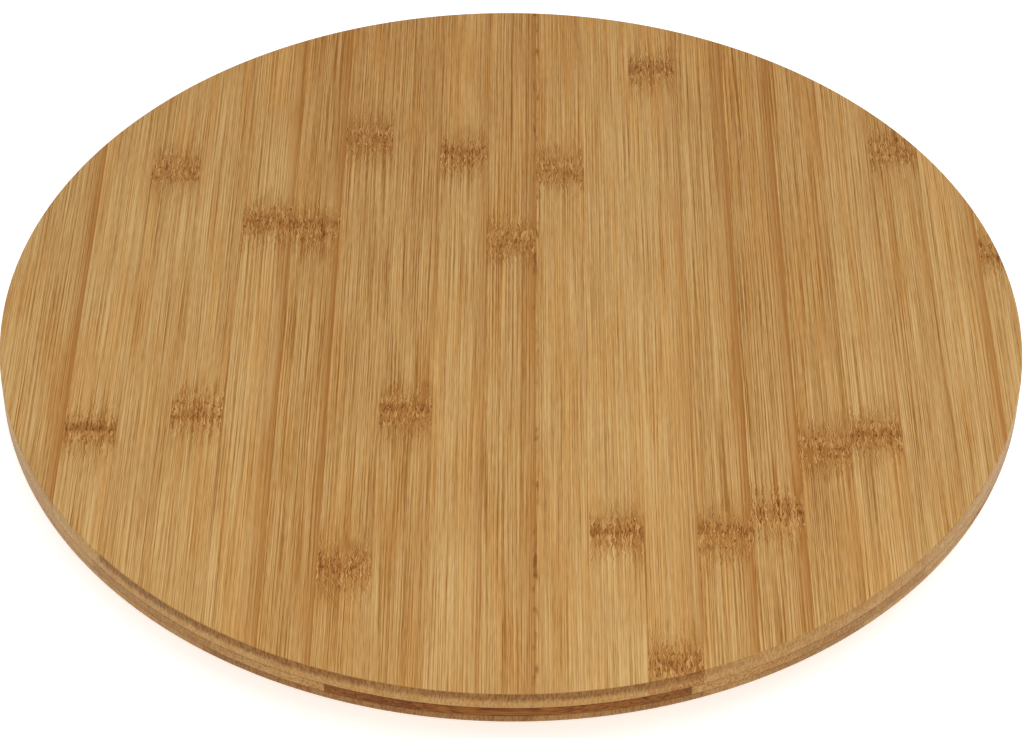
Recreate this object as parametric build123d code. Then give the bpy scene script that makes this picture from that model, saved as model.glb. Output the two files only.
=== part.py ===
from build123d import *

import os

# Lazy susan turntable. A round three-ply bamboo board spins on a square stamped-steel ball bearing,
# above a smaller round bamboo base board that stands on six rubber feet.
# Millimetres. +Z is up, the origin is the bottom centre, and the boards' face grain runs along Y.

# Stack of layers, listed upward from the surface that the turntable stands on
FOOT_STAND = 2.0
BASE_PLIES = {"back": 4.0, "core": 4.0, "face": 4.0}
BEARING_HEIGHT = 8.0
TOP_PLIES = {"back": 7.0, "core": 4.0, "face": 7.0}

BASE_BOTTOM = FOOT_STAND
BASE_TOP = BASE_BOTTOM + sum(BASE_PLIES.values())
BALL_PLANE = BASE_TOP + BEARING_HEIGHT / 2
TOP_BOTTOM = BASE_TOP + BEARING_HEIGHT
TOP_TOP = TOP_BOTTOM + sum(TOP_PLIES.values())

# Boards
TOP_RADIUS = 200.0
TOP_EASE = 0.8
UNDER_BEVEL = 4.0
UNDER_BEVEL_EASE = (0.8, 3.0)
BASE_RADIUS = 125.0
BASE_EDGE = 2.0
ACCESS_HOLE = 20.0

# Bearing plates
SHEET = 1.2
PLATE_SIDE = 152.0
PLATE_CORNER = 12.0
PLATE_HOLE = 5.0
PLATE_HOLE_CIRCLE = 94.3
UPPER_PLATE_TURN = 45.0
BEND_OUTSIDE = 1.7
BEND_INSIDE = 0.5
FLANGE_JOIN = 56.0
FLANGE_OVERLAP = 0.5
LOWER_FLANGE_BORE = 46.6
LOWER_LIP_TIP = 51.2
LOWER_LIP_TOP = BALL_PLANE + 2.4
UPPER_FLANGE_BORE = 51.6
UPPER_LIP_TIP = 49.4
UPPER_LIP_BOTTOM = BALL_PLANE - 0.9

# Balls and their cage
BALL = 6.0
BALL_COUNT = 36
BALL_CIRCLE = 60.0
GROOVE_RADIUS = 3.1
CAGE_WIDTH = 11.0
CAGE_THICK = 2.4
CAGE_POCKET = 6.3
CAGE_EDGE = 0.5

# Feet, set into the base board's underside
FOOT_COUNT = 6
FOOT_CIRCLE = 108.0
FOOT_START = 30.0
FOOT_RECESS = 18.4
FOOT_RECESS_DEPTH = 3.0
FOOT_TOP_DIAMETER = 18.0
FOOT_BOTTOM_DIAMETER = 16.0
FOOT_EDGE = 1.0
FOOT_POCKET = 8.5
FOOT_POCKET_DEPTH = 3.0
WASHER = 8.0
WASHER_BORE = 3.2
WASHER_THICK = 0.5

# Screws: head diameter and height, shank diameter and length under the head, and depth of the cross recess
PLATE_SCREW = {"head": 8.0, "head_height": 2.2, "shank": 3.9, "length": 11.0, "recess": 1.2}
FOOT_SCREW = {"head": 5.6, "head_height": 1.9, "shank": 3.0, "length": 10.0, "recess": 1.0}
SCREW_POINT = 0.5

# A screw's proportions: its head's rounding over the head's height, its taper over the shank's diameter,
# and the cross recess's span and slot width over the head's diameter
HEAD_ROUNDING = 0.45
TAPER = 0.8
CROSS_SPAN = 0.55
CROSS_SLOT = 0.16

OUT = "parts"


def save(name, *solids):
    """Write one node: its one solid, or its separate identical solids as a group."""
    shape = solids[0] if len(solids) == 1 else Compound(children=list(solids))
    export_step(shape, f"{OUT}/{name}.step")


def turned(points, radii):
    """A solid of revolution about Z, from (radius, height) points and a fillet radius at each."""
    outline = FilletPolyline(*points, radius=radii, close=True)
    return revolve(Plane.XZ * make_face(outline), Axis.Z)


def slab(radius, bottom, top):
    """A disc between two heights."""
    return Pos(0, 0, (bottom + top) / 2) * Cylinder(radius, top - bottom)


def screw(head, head_height, shank, length, recess):
    """A pan-head wood screw: its head's seat at z = 0, its head below and its shank above."""
    pan = slab(head / 2, -head_height, 0)
    pan = fillet(pan.edges().group_by(Axis.Z)[0], HEAD_ROUNDING * head_height)
    taper = TAPER * shank
    straight = slab(shank / 2, 0, length - taper)
    tip = Pos(0, 0, length - taper / 2) * Cone(shank / 2, SCREW_POINT / 2, taper)
    slot = Box(CROSS_SPAN * head, CROSS_SLOT * head, 2 * recess)
    cross = Pos(0, 0, -head_height) * (slot + Rot(0, 0, 90) * slot)
    return pan + straight + tip - cross


def plate_screws(seat, start, points_up):
    """The screws of one bearing plate, one in each corner, their heads' seats at one height."""
    one = screw(**PLATE_SCREW)
    if not points_up:
        one = Rot(180, 0, 0) * one
    return [Pos(0, 0, seat) * place * one for place in PolarLocations(PLATE_HOLE_CIRCLE, 4, start)]


def foot_places():
    """The places round the base board where the feet go, at the height that it stands on."""
    return PolarLocations(FOOT_CIRCLE, FOOT_COUNT, FOOT_START)


def foot_screw():
    """A foot's screw where it is driven, its head on the washer."""
    seat = FOOT_POCKET_DEPTH - WASHER_THICK
    return Pos(0, 0, seat) * screw(**FOOT_SCREW)


def foot():
    """A rubber foot: a tapered disc with a pocket for the screw's head and a hole for its shank."""
    height = FOOT_STAND + FOOT_RECESS_DEPTH
    body = Pos(0, 0, height / 2) * Cone(FOOT_BOTTOM_DIAMETER / 2, FOOT_TOP_DIAMETER / 2, height)
    body = fillet(body.edges().group_by(Axis.Z)[0], FOOT_EDGE)
    pocket = slab(FOOT_POCKET / 2, 0, FOOT_POCKET_DEPTH)
    hole = slab(FOOT_SCREW["shank"] / 2, FOOT_POCKET_DEPTH, height)
    return body - pocket - hole


def washer():
    """The thin washer against the roof of a foot's pocket."""
    bottom = FOOT_POCKET_DEPTH - WASHER_THICK
    return slab(WASHER / 2, bottom, FOOT_POCKET_DEPTH) - slab(WASHER_BORE / 2, bottom, FOOT_POCKET_DEPTH)


def plies(board, bottom, thicknesses, cutters):
    """Slice a board into its glued layers, upward, each with the holes of the fasteners that reach it."""
    layers = {}
    for name, thickness in thicknesses.items():
        layer = board & slab(TOP_RADIUS + 1, bottom, bottom + thickness)
        for cutter in cutters:
            reach = cutter.bounding_box()
            if reach.max.Z > bottom and reach.min.Z < bottom + thickness:
                layer -= cutter
        layers[name] = layer
        bottom += thickness
    return layers


def top_board(screws):
    """The turntable's board: a nearly sharp upper edge, a plumb rim and a bevel underneath."""
    rim = TOP_RADIUS
    bevel = [(rim - UNDER_BEVEL, TOP_BOTTOM), (rim, TOP_BOTTOM + UNDER_BEVEL)]
    points = [(0, TOP_BOTTOM), *bevel, (rim, TOP_TOP), (0, TOP_TOP)]
    board = turned(points, [0, *UNDER_BEVEL_EASE, TOP_EASE, 0])
    return plies(board, TOP_BOTTOM, TOP_PLIES, screws)


def base_board(screws, foot_screws):
    """The base board: rounded edges, an access hole, and a shallow recess for each foot."""
    rim = BASE_RADIUS
    points = [(0, BASE_BOTTOM), (rim, BASE_BOTTOM), (rim, BASE_TOP), (0, BASE_TOP)]
    board = turned(points, [0, BASE_EDGE, BASE_EDGE, 0])
    board -= Pos(PLATE_HOLE_CIRCLE, 0, 0) * slab(ACCESS_HOLE / 2, 0, BASE_TOP)
    for place in foot_places():
        board -= place * slab(FOOT_RECESS / 2, 0, BASE_BOTTOM + FOOT_RECESS_DEPTH)
    return plies(board, BASE_BOTTOM, BASE_PLIES, [*screws, *foot_screws])


def blank_plate(bottom):
    """A flat square plate with rounded corners, a hole in each corner and room in the middle for a flange."""
    side = RectangleRounded(PLATE_SIDE, PLATE_SIDE, PLATE_CORNER)
    plate = Pos(0, 0, bottom) * extrude(side, SHEET)
    plate -= slab(FLANGE_JOIN - FLANGE_OVERLAP, bottom, bottom + SHEET)
    for place in PolarLocations(PLATE_HOLE_CIRCLE, 4, 45):
        plate -= place * slab(PLATE_HOLE / 2, bottom, bottom + SHEET)
    return plate


def ball_groove():
    """The ring-shaped track that both plates are coined to."""
    return Pos(0, 0, BALL_PLANE) * Torus(BALL_CIRCLE, GROOVE_RADIUS)


def lower_bearing_plate():
    """The plate on the base board, its flange turned up and rolled outward over the upper plate's lip."""
    bottom = BASE_TOP
    bore = LOWER_FLANGE_BORE
    points = [
        (bore, bottom),
        (FLANGE_JOIN, bottom),
        (FLANGE_JOIN, bottom + SHEET),
        (bore + SHEET, bottom + SHEET),
        (bore + SHEET, LOWER_LIP_TOP - SHEET),
        (LOWER_LIP_TIP, LOWER_LIP_TOP - SHEET),
        (LOWER_LIP_TIP, LOWER_LIP_TOP),
        (bore, LOWER_LIP_TOP),
    ]
    flange = turned(points, [BEND_OUTSIDE, 0, 0, BEND_INSIDE, BEND_INSIDE, 0, 0, BEND_OUTSIDE])
    return blank_plate(bottom) + flange - ball_groove()


def upper_bearing_plate():
    """The plate under the top board, turned at rest, its flange hooked under the lower plate's lip."""
    top = TOP_BOTTOM
    outer = UPPER_FLANGE_BORE + SHEET
    points = [
        (FLANGE_JOIN, top),
        (UPPER_FLANGE_BORE, top),
        (UPPER_FLANGE_BORE, UPPER_LIP_BOTTOM + SHEET),
        (UPPER_LIP_TIP, UPPER_LIP_BOTTOM + SHEET),
        (UPPER_LIP_TIP, UPPER_LIP_BOTTOM),
        (outer, UPPER_LIP_BOTTOM),
        (outer, top - SHEET),
        (FLANGE_JOIN, top - SHEET),
    ]
    flange = turned(points, [0, BEND_OUTSIDE, BEND_INSIDE, 0, 0, BEND_OUTSIDE, BEND_INSIDE, 0])
    plate = Rot(0, 0, UPPER_PLATE_TURN) * blank_plate(top - SHEET)
    return plate + flange - ball_groove()


def ball_places():
    """The places of the balls round the race, at mid-height of the bearing."""
    ring = PolarLocations(BALL_CIRCLE, BALL_COUNT)
    return [Pos(0, 0, BALL_PLANE) * place for place in ring]


def ball_cage():
    """The ring that keeps the balls apart, with a round pocket for each."""
    inner = BALL_CIRCLE - CAGE_WIDTH / 2
    outer = BALL_CIRCLE + CAGE_WIDTH / 2
    bottom = BALL_PLANE - CAGE_THICK / 2
    top = BALL_PLANE + CAGE_THICK / 2
    points = [(inner, bottom), (outer, bottom), (outer, top), (inner, top)]
    cage = turned(points, [CAGE_EDGE] * 4)
    pocket = Cylinder(CAGE_POCKET / 2, 2 * CAGE_THICK)
    return cage - [place * pocket for place in ball_places()]


def main():
    os.makedirs(OUT, exist_ok=True)

    upper_screws = plate_screws(TOP_BOTTOM - SHEET, 0, points_up=True)
    lower_screws = plate_screws(BASE_TOP + SHEET, 45, points_up=False)
    foot_screws = [place * foot_screw() for place in foot_places()]
    washers = [place * washer() for place in foot_places()]
    balls = [place * Sphere(BALL / 2) for place in ball_places()]

    for layer, solid in top_board(upper_screws).items():
        save(f"top_board_{layer}_ply", solid)
    for layer, solid in base_board(lower_screws, foot_screws).items():
        save(f"base_board_{layer}_ply", solid)
    save("lower_bearing_plate", lower_bearing_plate())
    save("upper_bearing_plate", upper_bearing_plate())
    save("bearing_balls", *balls)
    save("ball_cage", ball_cage())
    save("lower_plate_screws", *lower_screws)
    save("upper_plate_screws", *upper_screws)
    for number, place in enumerate(foot_places(), start=1):
        save(f"foot_{number}", place * foot())
    save("foot_washers", *washers)
    save("foot_screws", *foot_screws)


main()
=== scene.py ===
import math
import random

import bmesh
import bpy
from mathutils import Matrix, Vector


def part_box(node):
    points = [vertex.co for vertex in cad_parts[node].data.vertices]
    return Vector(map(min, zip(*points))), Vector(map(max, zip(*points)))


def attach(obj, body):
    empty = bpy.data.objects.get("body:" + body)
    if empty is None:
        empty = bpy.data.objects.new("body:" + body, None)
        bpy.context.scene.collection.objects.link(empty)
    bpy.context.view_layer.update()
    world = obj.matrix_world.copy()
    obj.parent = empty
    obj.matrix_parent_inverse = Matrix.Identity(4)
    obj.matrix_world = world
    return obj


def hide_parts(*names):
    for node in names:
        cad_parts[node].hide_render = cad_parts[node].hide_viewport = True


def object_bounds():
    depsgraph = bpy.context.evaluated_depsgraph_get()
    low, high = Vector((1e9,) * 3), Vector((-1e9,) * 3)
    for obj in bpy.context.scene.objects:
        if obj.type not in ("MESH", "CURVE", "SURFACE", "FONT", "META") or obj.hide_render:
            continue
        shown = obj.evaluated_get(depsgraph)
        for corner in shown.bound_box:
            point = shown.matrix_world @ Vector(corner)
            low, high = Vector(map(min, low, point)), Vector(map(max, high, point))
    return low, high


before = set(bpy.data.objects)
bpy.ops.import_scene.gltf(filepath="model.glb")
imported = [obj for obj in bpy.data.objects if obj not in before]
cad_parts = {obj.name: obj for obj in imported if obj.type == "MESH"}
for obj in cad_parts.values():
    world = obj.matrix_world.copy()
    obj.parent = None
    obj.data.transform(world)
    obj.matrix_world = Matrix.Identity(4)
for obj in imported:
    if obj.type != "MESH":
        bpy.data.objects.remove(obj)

# A round three-ply bamboo board on a square ball bearing and a smaller bamboo base board. The boards' six
# plies get finer meshes here, cut round their screws and feet. Every other CAD node keeps its mesh and gets
# a material. The scene is in metres. Patterns in the materials are worked out in millimetres.
cad_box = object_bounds()
MM = 0.001

# Camera, fitted to the board's outline in the photograph: its angle above the table and its roll in degrees,
# its distance in metres, the place on the board's top that it aims at as X and Y in metres, and its lens and
# sensor in millimetres
ELEVATION = 42.47
ROLL = 0.46
DISTANCE = 1.2665
AIM = (0.00104, -0.0317)
LENS = 114.9
SENSOR = 36.0

# Bamboo strips, in millimetres: their width, and for each ply the axis that they run along and a place
# where two of them meet
STRIP = 19.83
TOP_GRAIN = {"face": ("Y", 9.59), "core": ("X", -10.7), "back": ("Y", 9.59)}
BASE_GRAIN = {"face": ("Y", -6.0), "core": ("X", 4.0), "back": ("Y", -6.0)}

# Fibre bundles are this far apart. A knot is this long on each side of its middle, and reaches this far.
ROW_PITCH = 1.5
KNOT_HALF = 7.5
KNOT_REACH = 32.0

# The top's knots, as they lie in the photograph: strip number, counted from the middle, and place along the
# strip in millimetres
FACE_KNOTS = [
    (-9, -69),
    (-8, 89),
    (-7, -57),
    (-6, 56),
    (-5, 52),
    (-4, 111),
    (-4, -139),
    (-3, -56),
    (-2, 100),
    (-1, 45),
    (0, 91),
    (1, -120),
    (2, 159),
    (2, -184),
    (3, -121),
    (4, -110),
    (5, -75),
    (6, -67),
    (7, 106),
    (9, 40),
]

# The top's core strips that were heated brown: strip number, and how far
CORE_BROWNED = [(-10, 1.0), (-9, 0.32), (-8, 0.42), (-7, 0.32)]

# A joint whose random value, from 0 to 1, is above this has spots beside it
SPOTTED_ABOVE = 0.9

# Seeds for the strips' tones, for their ruddy edges, and for which are dense at the ply's dense face. The
# large ones were found by a search outside this script, for random values near those read by strip from the
# photograph, so that light, dark and dense strips come in about its order.
TOP_SEEDS = {
    "face": (187036.0, 719027.0, 1378036.0),
    "core": (40.0, 50.0, 60.0),
    "back": (80.0, 90.0, 437731.0),
}
BASE_SEEDS = {
    "face": (120.0, 130.0, 140.0),
    "core": (160.0, 170.0, 180.0),
    "back": (200.0, 210.0, 220.0),
}


def colour(red, green, blue):
    """A linear colour from its display values, 0 to 255."""
    parts = []
    for part in (red, green, blue):
        value = part / 255
        parts.append(value / 12.92 if value <= 0.04045 else ((value + 0.055) / 1.055) ** 2.4)
    return (*parts, 1.0)


# ---------------------------------------------------------------- material graphs


class Wire:
    """A socket that can be used in sums. Each sum adds a Math node to the socket's node tree."""

    def __init__(self, tree, socket):
        self.tree = tree
        self.socket = socket

    def calc(self, operation, *others):
        return calc(self.tree, operation, self, *others)

    def __add__(self, other):
        return self.calc("ADD", other)

    def __sub__(self, other):
        return self.calc("SUBTRACT", other)

    def __rsub__(self, other):
        return calc(self.tree, "SUBTRACT", other, self)

    def __mul__(self, other):
        return self.calc("MULTIPLY", other)

    def __truediv__(self, other):
        return self.calc("DIVIDE", other)

    def __abs__(self):
        return self.calc("ABSOLUTE")

    __radd__ = __add__

    def ease(self, low, high):
        """0 at low, 1 at high and smooth between. low may be the larger."""
        node = self.tree.nodes.new("ShaderNodeMapRange")
        node.interpolation_type = "SMOOTHSTEP"
        for socket, value in zip(node.inputs, (self, low, high)):
            plug(self.tree, socket, value)
        return Wire(self.tree, node.outputs[0])


def plug(tree, socket, value):
    """Join a wire to a socket, or set the socket's own value."""
    if isinstance(value, Wire):
        tree.links.new(value.socket, socket)
    else:
        socket.default_value = value


def calc(tree, operation, *values):
    """What a Math node makes of some wires and numbers."""
    node = tree.nodes.new("ShaderNodeMath")
    node.operation = operation
    for socket, value in zip(node.inputs, values):
        plug(tree, socket, value)
    return Wire(tree, node.outputs[0])


def coordinates(tree, kind):
    """The X, Y and Z of one kind of texture coordinates."""
    where = tree.nodes.new("ShaderNodeTexCoord")
    split = tree.nodes.new("ShaderNodeSeparateXYZ")
    tree.links.new(where.outputs[kind], split.inputs[0])
    return [Wire(tree, socket) for socket in split.outputs]


class Surface:
    """A material with one Principled shader, and the nodes that its patterns are made of."""

    def __init__(self, name):
        self.material = bpy.data.materials.new(name)
        self.material.use_nodes = True
        self.tree = self.material.node_tree
        self.tree.nodes.clear()
        self.shader = self.tree.nodes.new("ShaderNodeBsdfPrincipled")
        output = self.tree.nodes.new("ShaderNodeOutputMaterial")
        self.tree.links.new(self.shader.outputs[0], output.inputs["Surface"])

    def set(self, name, value):
        """Give one of the shader's sockets a value or a wire."""
        plug(self.tree, self.shader.inputs[name], value)

    def place(self):
        """Where a point is on its piece, as X, Y and Z in millimetres, which turn with the piece."""
        return [part / MM for part in coordinates(self.tree, "Object")]

    def facing(self):
        """Which way the surface faces on its piece, as X, Y and Z."""
        return coordinates(self.tree, "Normal")

    def noise(self, point, sizes, detail=2.0, rough=0.5):
        """Soft noise about 0.5. sizes are its features' sizes along the point's three coordinates."""
        scaled = self.tree.nodes.new("ShaderNodeCombineXYZ")
        for socket, value, size in zip(scaled.inputs, point, sizes):
            plug(self.tree, socket, value / size)
        node = self.tree.nodes.new("ShaderNodeTexNoise")
        self.tree.links.new(scaled.outputs[0], node.inputs["Vector"])
        node.inputs["Scale"].default_value = 1.0
        node.inputs["Detail"].default_value = detail
        node.inputs["Roughness"].default_value = rough
        return Wire(self.tree, node.outputs[0])

    def even_noise(self, size, detail=2.0, rough=0.5):
        """Soft noise about 0.5, as large in every direction, in millimetres."""
        return self.noise(self.place(), (size, size, size), detail, rough)

    def chance(self, number):
        """A random value from 0 to 1 that depends only on the number."""
        node = self.tree.nodes.new("ShaderNodeTexWhiteNoise")
        node.noise_dimensions = "1D"
        plug(self.tree, node.inputs["W"], number)
        return Wire(self.tree, node.outputs["Value"])

    def mix(self, share, first, second, mode="MIX"):
        """Two colours, blended by a share of the second."""
        node = self.tree.nodes.new("ShaderNodeMix")
        node.data_type = "RGBA"
        node.blend_type = mode
        node.clamp_factor = True
        # The node has sockets for each kind of value. These are the ones for colours.
        for index, value in ((0, share), (6, first), (7, second)):
            plug(self.tree, node.inputs[index], value)
        return Wire(self.tree, node.outputs[2])

    def bump(self, height, strength, distance_mm):
        """Raise the surface, for light only, by a height."""
        node = self.tree.nodes.new("ShaderNodeBump")
        node.inputs["Strength"].default_value = strength
        node.inputs["Distance"].default_value = distance_mm * MM
        plug(self.tree, node.inputs["Height"], height)
        self.set("Normal", Wire(self.tree, node.outputs[0]))


# ---------------------------------------------------------------- bamboo

DARK_FIBRE = colour(149, 97, 40)
HONEY = colour(189, 144, 84)
STRAW = colour(213, 175, 116)
RUDDY = colour(166, 107, 46)
# The warm tint of some patches, also used as painted shade on a board's far side
WARMTH_AND_FAR_SHADE = colour(255, 241, 220)
KNOT_DARK = colour(112, 62, 20)
KNOT_MIDDLE = colour(173, 115, 54)
KNOT_LIGHT = colour(207, 163, 100)
# The dark of end grain, also used as painted shade on faces that point downward
END_GRAIN_AND_SHADE = colour(112, 64, 20)
GLUE = colour(96, 54, 18)
BROWNED = colour(164, 126, 62)

# Each strip's pattern is shifted along it by a chance amount, up to this many millimetres
STRIP_SHIFT = 900.0

# How much higher up the warm patches' noise is taken, in millimetres
WARM_SHIFT = 300.0

# Where a joint's dark line, and the spots beside some joints, fade in: shares of a strip, from its middle
JOINT_LINE = (0.475, 0.495)
JOINT_SPOTS = (0.42, 0.47)

# The middle of the fibres' shades, which heating spreads and end grain draws together
MIDDLE_SHADE = 0.55


def of_strip(strip, pairs):
    """A value that some strips have, from pairs of strip number and value. The others have 0."""
    total = 0.0
    for number, value in pairs:
        total = strip.calc("COMPARE", number, 0.5).calc("MULTIPLY_ADD", value, total)
    return total


def knots_near(strip, along, knots):
    """1 where a strip has a knot within reach, how far past it the point is, and the knot's place."""
    near = 0.0
    places = 0.0
    for number, place in knots:
        here = strip.calc("COMPARE", number, 0.5) * along.calc("COMPARE", place, KNOT_REACH)
        near = here + near
        places = here.calc("MULTIPLY_ADD", place, places)
    return near, near * along - places, places


def three_tones(surface, shade, dark, middle, light):
    """A colour for a shade from 0, dark, to 1, light."""
    tone = surface.mix(shade * 2.0, dark, middle)
    return surface.mix(shade * 2.0 - 1.0, tone, light)


class Grain:
    """Where a point is in a ply's bamboo, in millimetres, and how its strip came out."""

    def __init__(self, surface, direction, knots, seeds):
        axis, offset = direction
        x, y, self.z = surface.place()
        facing_x, facing_y, self.facing_z = surface.facing()
        self.surface = surface
        self.across, self.along = (x, y) if axis == "Y" else (y, x)
        self.end = abs(facing_y if axis == "Y" else facing_x).ease(0.10, 0.75)
        self.upright = 1.0 - abs(self.facing_z)
        # Painted shade: the far side of a board is painted darker and warmer.
        self.painted_far_shade = y.ease(60.0, 190.0)

        strips_across = (self.across - offset) / STRIP
        self.strip = strips_across.calc("FLOOR")
        self.within = strips_across - self.strip
        self.luck = surface.chance(self.strip + seeds[0])
        self.edge_luck = surface.chance(self.strip + seeds[1])
        self.dense_luck = surface.chance(self.strip + seeds[2])
        self.shifted = self.along + self.luck * STRIP_SHIFT

        # A knot has ragged sides, and dark tongues that run out from it.
        near, self.past, self.place = knots_near(self.strip, self.along, knots)
        gap = abs(self.past)
        ragged = (self.patches(1.4, 6.0, 3.0) - 0.5) * 16.0
        tongues = (self.patches(2.4, 12.0, 3.0) - 0.5) * 34.0
        self.knot = near * (gap + ragged).ease(KNOT_HALF + 2.5, KNOT_HALF - 2.5)
        self.plume = near * (gap + tongues).ease(21.0, 7.0)
        self.halo = near * gap.ease(KNOT_REACH, 2.0)

        # Fibres run true between knots and weave close to them.
        stirred = near * gap.ease(26.0, 4.0)
        weave = (self.patches(1.3, 2.6, 3.0) - 0.5) * 2.0 * stirred
        slow = (self.clouds(20.0, 130.0, 20.0) - 0.5) * 1.2
        waver = (self.clouds(3.0, 14.0, 3.0) - 0.5) * 0.3
        self.line = self.across + weave + slow + waver

    def patches(self, width, length, height, detail=1.0):
        """Noise of a size in millimetres that doesn't follow the fibres."""
        return self.surface.noise((self.across, self.along, self.z), (width, length, height), detail)

    def clouds(self, width, length, height, detail=1.0):
        """The same, and different on each strip."""
        return self.surface.noise((self.across, self.shifted, self.z), (width, length, height), detail)

    def fibres(self, width, length, height, detail=1.0):
        """Noise that follows the fibres, different on each strip."""
        return self.surface.noise((self.line, self.shifted, self.z), (width, length, height), detail)

    def short_fibres(self, width, length, height, detail=1.0):
        """Noise that follows the fibres, for short ones."""
        return self.surface.noise((self.line, self.along, self.z), (width, length, height), detail)


def fibre_shade(grain, hair, threads):
    """How light the fibres are: hairs, flecks, regular rows of bundles and slow changes over a strip."""
    fleck = grain.short_fibres(0.32, 6.0, 0.6, 0.0)
    streak = grain.fibres(2.0, 120.0, 2.6)
    band = grain.fibres(7.0, 300.0, 9.0)
    drift = grain.fibres(3.5, 250.0, 3.5, 0.0)
    cloud = grain.clouds(16.0, 40.0, 16.0)
    turns = (grain.line / ROW_PITCH + drift * 4.0) * (2.0 * math.pi)
    rows = turns.calc("SINE").ease(-0.4, 1.0)
    row_depth = cloud.ease(0.30, 0.55) * (0.15 + grain.edge_luck * 0.24) * (1.0 - grain.upright)
    return (
        0.64
        + (hair - 0.5) * 1.2
        + (fleck - 0.5) * 0.50
        - threads * 0.20
        - (rows - 0.3) * row_depth
        + (streak - 0.5) * 0.10
        + (band - 0.5) * 0.24
        + (cloud - 0.5) * 0.22
        + (grain.luck - 0.5) * 0.19
    )


def joint_spots(grain, seeds):
    """Short dark marks, beside a few of the joints."""
    joint_number = (grain.within + 0.5).calc("FLOOR") + grain.strip
    spotted = grain.surface.chance(joint_number + seeds[1] + 0.5).calc("GREATER_THAN", SPOTTED_ABOVE)
    marks = grain.patches(2.2, 7.0, 1.5).ease(0.52, 0.74)
    beside = abs(grain.within - 0.5).ease(*JOINT_SPOTS)
    return spotted * marks * beside * 0.7


def knot_tone(grain, hair, squiggle):
    """A knot's colour: short wavy fibres with dark lines between them, darker along one side."""
    knot_luck = grain.surface.chance(grain.place + grain.strip * 7.0)
    outline = abs(squiggle - 0.5).ease(0.075, 0.0)
    side = (grain.past - (knot_luck - 0.5) * 9.0) / 2.6
    dark_side = (side * side * -1.0).calc("EXPONENT") * (0.05 + knot_luck * 0.22)
    shade = 0.72 + (squiggle - 0.5) - outline * 0.60 + (hair - 0.5) * 0.8 - dark_side
    return three_tones(grain.surface, shade, KNOT_DARK, KNOT_MIDDLE, KNOT_LIGHT)


def end_grain_and_painted_shade(grain, dense_face):
    """How dark the ends of the fibres are: fine dots, close together towards a strip's dense side.

    A bevel, which faces downward, is darker as well, as painted shade.
    """
    dots = grain.patches(0.6, 9.0, 2.4)
    speckle = dots.ease(0.60, 0.38)
    depth = abs(grain.z - dense_face) + (dots - 0.5) * 1.2
    dense = depth.ease(4.8, 1.8) * (0.15 + grain.dense_luck.ease(0.25, 0.75) * 0.85)
    # Painted shade on faces that point downward, such as the bevel
    painted_underside_shade = grain.facing_z.ease(-0.2, -0.7)
    return grain.end * (dense * 0.50 + speckle * 0.22 + painted_underside_shade * 0.28 + 0.17)


def bamboo(name, direction, knots, seeds, dense_face, glue_lines, browned=()):
    """Strip bamboo.

    direction has the axis that the strips run along and the place of a joint between two of them. seeds set
    the strips' tones, their ruddy edges, and which are dense at dense_face, a height. glue_lines are the
    heights of the board's glue lines. browned has pairs of strip number and how far it was heated brown.
    """
    surface = Surface(name)
    grain = Grain(surface, direction, knots, seeds)
    hair = grain.fibres(0.35, 60.0, 0.8, 0.0)
    threads = grain.fibres(0.50, 170.0, 1.2, 0.0).ease(0.48, 0.34)
    squiggle = grain.short_fibres(0.60, 7.5, 0.8)
    heated = of_strip(grain.strip, browned)
    joint = abs(grain.within - 0.5).ease(*JOINT_LINE) * (0.4 + grain.edge_luck) * (1.0 - grain.end * 0.6)

    contrast = (1.0 - grain.end * 0.6) * (heated * 0.6 + 1.0)
    shade = (fibre_shade(grain, hair, threads) - MIDDLE_SHADE) * contrast + MIDDLE_SHADE
    shade = shade - joint * 0.14 - grain.halo * 0.06 - grain.plume * 0.18
    tone = three_tones(surface, shade, DARK_FIBRE, HONEY, STRAW)

    # Some patches are warmer, and the far side of a board is painted warmer and darker, as painted shade.
    # The patches' noise is taken from higher up, so that it has nothing in common with the fibres'.
    warm = surface.noise((grain.across, grain.shifted, grain.z + WARM_SHIFT), (6.0, 90.0, 6.0))
    tone = surface.mix(warm.ease(0.46, 0.62) * 0.6 + grain.painted_far_shade * 0.5, tone, WARMTH_AND_FAR_SHADE, "MULTIPLY")

    # A strip is ruddier towards one edge.
    from_edge = (1.0 - grain.within) * STRIP
    ruddy = (from_edge / -2.8).calc("EXPONENT") * (grain.edge_luck - 0.20) * 1.25
    tone = surface.mix(ruddy * (1.0 - grain.end), tone, RUDDY)
    tone = surface.mix(joint_spots(grain, seeds), tone, KNOT_DARK)
    tone = surface.mix(grain.knot * 0.9, tone, knot_tone(grain, hair, squiggle))
    tone = surface.mix(end_grain_and_painted_shade(grain, dense_face), tone, END_GRAIN_AND_SHADE)
    tone = surface.mix(heated, tone, BROWNED, "MULTIPLY")
    for height in glue_lines:
        tone = surface.mix(grain.upright * abs(grain.z - height).ease(0.40, 0.10) * 0.35, tone, GLUE)

    surface.set("Base Color", tone)
    surface.set("Specular IOR Level", 0.12)
    surface.set("Roughness", 0.50 - (hair - 0.5) * 0.15 + grain.knot * 0.05)
    surface.bump(hair * 0.4 - threads * 0.3 - joint * 0.6 + squiggle * grain.knot * 0.5, 0.2, 0.1)
    return surface.material


def chance_knots(seed, radius, spacing=(150, 240)):
    """Knots for a ply that has no set ones: a few along each strip, at uneven places."""
    draw = random.Random(seed)
    knots = []
    last = int(radius / STRIP) + 1
    for number in range(-last, last):
        place = -radius - draw.uniform(0, spacing[0])
        while place < radius:
            knots.append((number, round(place)))
            place += draw.uniform(*spacing)
    return [knot for knot in knots if math.hypot((knot[0] + 0.5) * STRIP, knot[1]) < radius]


# ---------------------------------------------------------------- other materials

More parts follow.
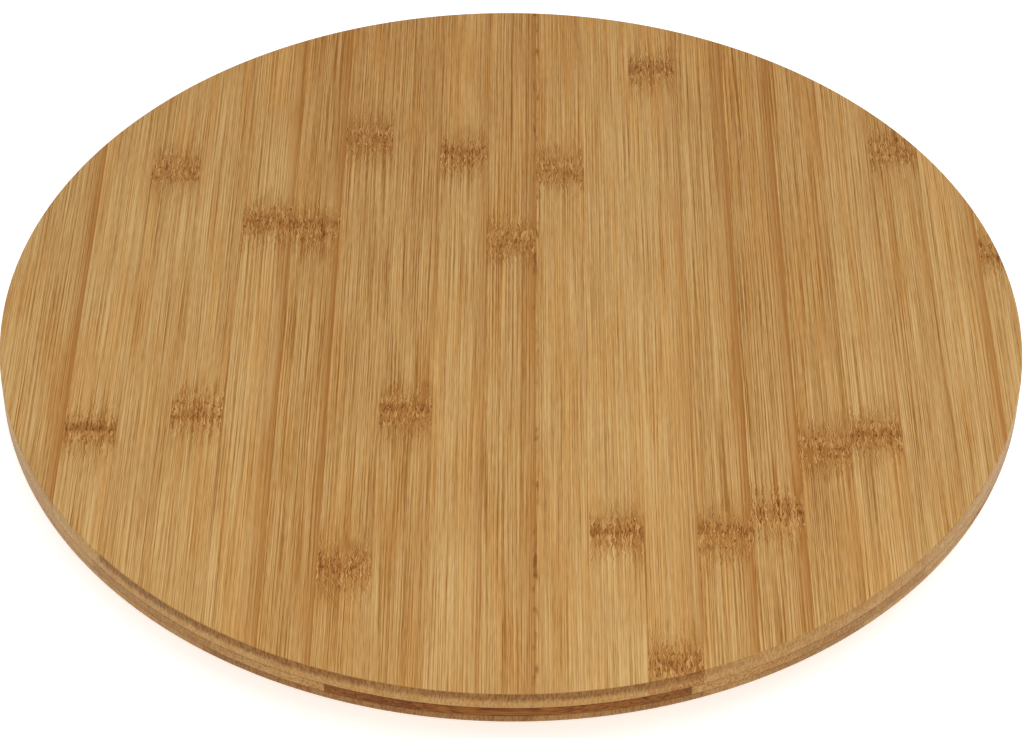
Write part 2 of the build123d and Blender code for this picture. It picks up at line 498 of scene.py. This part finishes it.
ZINC = colour(204, 208, 212)
SCREW_ZINC = colour(190, 192, 194)
ZINC_CLOUDS = colour(222, 222, 219)
ZINC_SPECKS = colour(160, 164, 170)
BALL_STEEL = (colour(208, 208, 212), colour(232, 232, 232))
NYLON = (colour(236, 232, 218), colour(224, 218, 198))
RUBBER = (colour(34, 33, 32), colour(58, 56, 53))
FLOOR = colour(218, 226, 231)
WHITE = colour(255, 255, 255)
SKY = colour(253, 254, 255)


def zinc(name, tint):
    """Bright zinc plating: fine rolling lines, a slightly cloudy shine and a few fine rubbed specks."""
    surface = Surface(name)
    rolled = surface.noise(surface.place(), (0.25, 30.0, 0.25))
    cloud = surface.even_noise(14.0, 4.0)
    specks = surface.even_noise(0.7, 1.0).ease(0.62, 0.80)
    plated = surface.mix(cloud * 0.6, tint, ZINC_CLOUDS)
    surface.set("Metallic", 1.0)
    surface.set("Base Color", surface.mix(specks * 0.35, plated, ZINC_SPECKS))
    surface.set("Roughness", 0.27 + rolled * 0.12 + cloud * 0.08)
    surface.bump(rolled, 0.10, 0.02)
    return surface.material


def steel_ball():
    """Polished steel with a slight haze."""
    surface = Surface("polished_bearing_steel")
    haze = surface.even_noise(1.6)
    surface.set("Metallic", 1.0)
    surface.set("Base Color", surface.mix(haze, *BALL_STEEL))
    surface.set("Roughness", 0.06 + haze * 0.08)
    return surface.material


def nylon():
    """Undyed nylon with a fine moulded grain and faint flow marks."""
    surface = Surface("natural_nylon")
    grain = surface.even_noise(0.4)
    flow = surface.even_noise(12.0)
    surface.set("Subsurface Weight", 0.15)
    surface.set("Specular IOR Level", 0.45)
    surface.set("Base Color", surface.mix(flow, *NYLON))
    surface.set("Roughness", 0.38 + grain * 0.14)
    surface.bump(grain, 0.12, 0.03)
    return surface.material


def rubber():
    """Black rubber with a fine grain and patches of dust."""
    surface = Surface("moulded_rubber")
    grain = surface.even_noise(0.3, 3.0, 0.7)
    dust = surface.even_noise(6.0, 3.0)
    surface.set("Specular IOR Level", 0.3)
    surface.set("Base Color", surface.mix(dust.ease(0.4, 0.75), *RUBBER))
    surface.set("Roughness", 0.62 + grain * 0.2)
    surface.bump(grain, 0.3, 0.05)
    return surface.material


# ---------------------------------------------------------------- mesh tools

# Faces round the boards and the holes
TOP_SEGMENTS = 720
BASE_SEGMENTS = 480
HOLE_SEGMENTS = 96
ACCESS_SEGMENTS = 144

# How far a ply's edge is eased against the next ply, so that the glue line shows
GLUE_EASE = 0.12 * MM


def arc(centre_r, centre_z, radius, start, end, steps=5):
    """Points along an arc in the radius-height plane. Angles are in degrees, from straight outward."""
    points = []
    for step in range(steps + 1):
        angle = math.radians(start + (end - start) * step / steps)
        points.append((centre_r + radius * math.cos(angle), centre_z + radius * math.sin(angle)))
    return points


def lower_corner(radius, height):
    """A ply's lower edge where it meets the next ply, eased a hair."""
    return [(radius - GLUE_EASE, height), (radius, height + GLUE_EASE)]


def upper_corner(radius, height):
    """A ply's upper edge where it meets the next ply, eased a hair."""
    return [(radius, height - GLUE_EASE), (radius - GLUE_EASE, height)]


def turned(name, outline, segments):
    """A closed solid of revolution about Z, from its outline's points (radius, height), listed upward."""
    mesh = bmesh.new()
    rings = []
    for radius, height in outline:
        ring = []
        for step in range(segments):
            angle = 2 * math.pi * step / segments
            ring.append(mesh.verts.new((radius * math.cos(angle), radius * math.sin(angle), height)))
        rings.append(ring)
    for low, high in zip(rings, rings[1:]):
        for step in range(segments):
            after = (step + 1) % segments
            mesh.faces.new((low[step], low[after], high[after], high[step]))
    mesh.faces.new(reversed(rings[0]))
    mesh.faces.new(rings[-1])
    data = bpy.data.meshes.new(name)
    mesh.to_mesh(data)
    mesh.free()
    piece = bpy.data.objects.new(name, data)
    bpy.context.scene.collection.objects.link(piece)
    return piece


def drill(name, x, y, radius, low, high, segments=HOLE_SEGMENTS):
    """A round cutting tool, from one height to another."""
    tool = turned(name, [(radius, low), (radius, high)], segments)
    tool.data.transform(Matrix.Translation((x, y, 0)))
    return tool


def cut(piece, *tools):
    """Cut the tools' shapes out of a piece."""
    for tool in tools:
        change = piece.modifiers.new("cut", "BOOLEAN")
        change.operation = "DIFFERENCE"
        change.solver = "EXACT"
        change.object = tool
    graph = bpy.context.evaluated_depsgraph_get()
    data = bpy.data.meshes.new_from_object(piece.evaluated_get(graph), depsgraph=graph)
    piece.modifiers.clear()
    piece.data = data


def finish_ply(piece, node, body, material):
    """Give a ply its material, smooth it up to its real corners, and let it stand for its CAD node."""
    piece.data.materials.clear()
    piece.data.materials.append(material)
    piece.data.shade_smooth()
    piece.data.set_sharp_from_angle(angle=math.radians(30))
    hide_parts(node)
    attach(piece, body)


def heights(node):
    """The lowest and highest points of a node."""
    return [corner[2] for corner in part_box(node)]


# ---------------------------------------------------------------- boards

# Edges of the top board, and of the base board
TOP_EASE = 0.8 * MM
UNDER_BEVEL = 4.0 * MM
BEVEL_BLEND = 1.2 * MM
BASE_EDGE = 2.0 * MM

# Holes in the base board. A cutting tool reaches this far past the surfaces that it opens.
ACCESS_RADIUS = 10.0 * MM
RECESS_RADIUS = 9.2 * MM
CUT_MARGIN = 5.0 * MM
SCREW_HEAD_RADIUS = 4.0 * MM

# The height of a core's dense side, in metres: far below the boards, because its strips show none
NO_DENSE_FACE = -1.0

FEET = [f"foot_{number}" for number in range(1, 7)]


def top_board(radius):
    """The turntable's plies, each with its outline and its dense side's height.

    The board has an eased top edge, a plumb rim and a bevel underneath, blended at both of its corners.
    """
    low, high = heights("top_board_face_ply")
    upper_edge = arc(radius - TOP_EASE, high - TOP_EASE, TOP_EASE, 0, 90)
    yield "face", lower_corner(radius, low) + upper_edge, high
    low, high = heights("top_board_core_ply")
    yield "core", lower_corner(radius, low) + upper_corner(radius, high), NO_DENSE_FACE
    low, high = heights("top_board_back_ply")
    start = BEVEL_BLEND * math.tan(math.radians(22.5))
    lower = arc(radius - UNDER_BEVEL - start, low + BEVEL_BLEND, BEVEL_BLEND, -90, -45, 4)
    upper = arc(radius - BEVEL_BLEND, low + UNDER_BEVEL + start, BEVEL_BLEND, -45, 0, 4)
    yield "back", lower + upper + upper_corner(radius, high), high


def base_board(radius):
    """The base board's plies, rounded at the outer edges, each with its outline and dense side's height."""
    low, high = heights("base_board_face_ply")
    upper_edge = arc(radius - BASE_EDGE, high - BASE_EDGE, BASE_EDGE, 0, 90, 8)
    yield "face", lower_corner(radius, low) + upper_edge, high
    low, high = heights("base_board_core_ply")
    yield "core", lower_corner(radius, low) + upper_corner(radius, high), NO_DENSE_FACE
    low, high = heights("base_board_back_ply")
    lower_edge = arc(radius - BASE_EDGE, low + BASE_EDGE, BASE_EDGE, -90, 0, 8)
    yield "back", lower_edge + upper_corner(radius, high), low


def base_tools():
    """Tools for the base board's access hole, and for the recesses that its feet sit in."""
    bottom = heights("base_board_back_ply")[0]
    top = heights("base_board_face_ply")[1]
    hole_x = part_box("upper_plate_screws")[1][0] - SCREW_HEAD_RADIUS
    reach = (bottom - CUT_MARGIN, top + CUT_MARGIN)
    access = drill("access_tool", hole_x, 0, ACCESS_RADIUS, *reach, ACCESS_SEGMENTS)
    recesses = []
    for foot in FEET:
        low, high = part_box(foot)
        x = (low[0] + high[0]) / 2
        y = (low[1] + high[1]) / 2
        recesses.append(drill("recess_tool", x, y, RECESS_RADIUS, bottom - CUT_MARGIN, high[2]))
    return access, recesses


def make_top_board():
    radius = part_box("top_board_core_ply")[1][0]
    glue_lines = [height / MM for height in heights("top_board_core_ply")]
    for ply, outline, dense_face in top_board(radius):
        name = f"top_board_{ply}_ply"
        piece = turned(f"turntable_{ply}_panel", outline, TOP_SEGMENTS)
        # The bearing's screws end below the face ply.
        if ply != "face":
            cut(piece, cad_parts["upper_plate_screws"])
        knots = FACE_KNOTS if ply == "face" else chance_knots(ply, round(radius / MM))
        browned = CORE_BROWNED if ply == "core" else ()
        look = bamboo(name, TOP_GRAIN[ply], knots, TOP_SEEDS[ply], dense_face / MM, glue_lines, browned)
        finish_ply(piece, name, "turntable", look)


def make_base_board():
    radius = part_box("base_board_core_ply")[1][0]
    access, recesses = base_tools()
    screws = [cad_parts["lower_plate_screws"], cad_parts["foot_screws"]]
    glue_lines = [height / MM for height in heights("base_board_core_ply")]
    for ply, outline, dense_face in base_board(radius):
        name = f"base_board_{ply}_ply"
        piece = turned(f"base_{ply}_panel", outline, BASE_SEGMENTS)
        cut(piece, access, *screws, *(recesses if ply == "back" else ()))
        knots = chance_knots(name, round(radius / MM))
        look = bamboo(name, BASE_GRAIN[ply], knots, BASE_SEEDS[ply], dense_face / MM, glue_lines)
        finish_ply(piece, name, "base", look)
    for tool in (access, *recesses):
        bpy.data.objects.remove(tool)


def finish_nodes():
    """Give the CAD nodes that stay their materials."""
    plated = zinc("zinc_plating", ZINC)
    screw_plating = zinc("screw_plating", SCREW_ZINC)
    looks = {
        "lower_bearing_plate": plated,
        "upper_bearing_plate": plated,
        "bearing_balls": steel_ball(),
        "ball_cage": nylon(),
        "lower_plate_screws": screw_plating,
        "upper_plate_screws": screw_plating,
        "foot_washers": screw_plating,
        "foot_screws": screw_plating,
    }
    looks |= dict.fromkeys(FEET, rubber())
    for node, material in looks.items():
        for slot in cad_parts[node].material_slots:
            slot.material = material


# ---------------------------------------------------------------- floor, light and camera


def make_floor():
    """A pale floor that glows a little, so that shadows on it stay faint."""
    bpy.ops.mesh.primitive_plane_add(size=12)
    floor = bpy.context.object
    floor.name = "floor"
    surface = Surface("pale_floor")
    surface.set("Roughness", 0.9)
    surface.set("Specular IOR Level", 0.1)
    surface.set("Base Color", FLOOR)
    surface.set("Emission Color", WHITE)
    surface.set("Emission Strength", 0.63)
    floor.data.materials.append(surface.material)


def make_light(name, place, aim, size, power):
    """A soft round lamp that faces a point."""
    data = bpy.data.lights.new(name, "AREA")
    data.shape = "DISK"
    data.size = size
    data.energy = power
    lamp = bpy.data.objects.new(name, data)
    lamp.location = place
    lamp.rotation_euler = (Vector(aim) - Vector(place)).to_track_quat("-Z", "Y").to_euler()
    bpy.context.scene.collection.objects.link(lamp)


def make_world(strength, horizon):
    """Even light from all round, and brighter near the horizon, where the floor runs into it."""
    world = bpy.data.worlds.new("studio")
    world.use_nodes = True
    tree = world.node_tree
    height = coordinates(tree, "Generated")[2]
    background = tree.nodes["Background"]
    background.inputs["Color"].default_value = SKY
    plug(tree, background.inputs["Strength"], height.ease(0.25, 0.06) * (horizon - strength) + strength)
    bpy.context.scene.world = world


def make_camera():
    """The camera, in front of the board and above it."""
    data = bpy.data.cameras.new("camera")
    data.sensor_width = SENSOR
    data.lens = LENS
    data.clip_end = 50
    camera = bpy.data.objects.new("camera", data)
    tilt = math.radians(ELEVATION)
    top = cad_box[1][2]
    back = Vector((0, -math.cos(tilt), math.sin(tilt))) * DISTANCE
    turn = Matrix.Rotation(math.radians(90) - tilt, 4, "X") @ Matrix.Rotation(math.radians(ROLL), 4, "Z")
    camera.matrix_world = Matrix.Translation(Vector((*AIM, top)) + back) @ turn
    bpy.context.scene.collection.objects.link(camera)
    bpy.context.scene.camera = camera


make_top_board()
make_base_board()
finish_nodes()
make_floor()
make_world(strength=0.40, horizon=0.92)
make_light("key", place=(0.0, -0.85, 1.3), aim=(0, -0.1, 0), size=0.9, power=9)
make_light("fill", place=(0.5, -0.1, 1.8), aim=(0, 0, 0), size=1.6, power=10)
make_camera()
bpy.context.scene.view_settings.view_transform = "Standard"
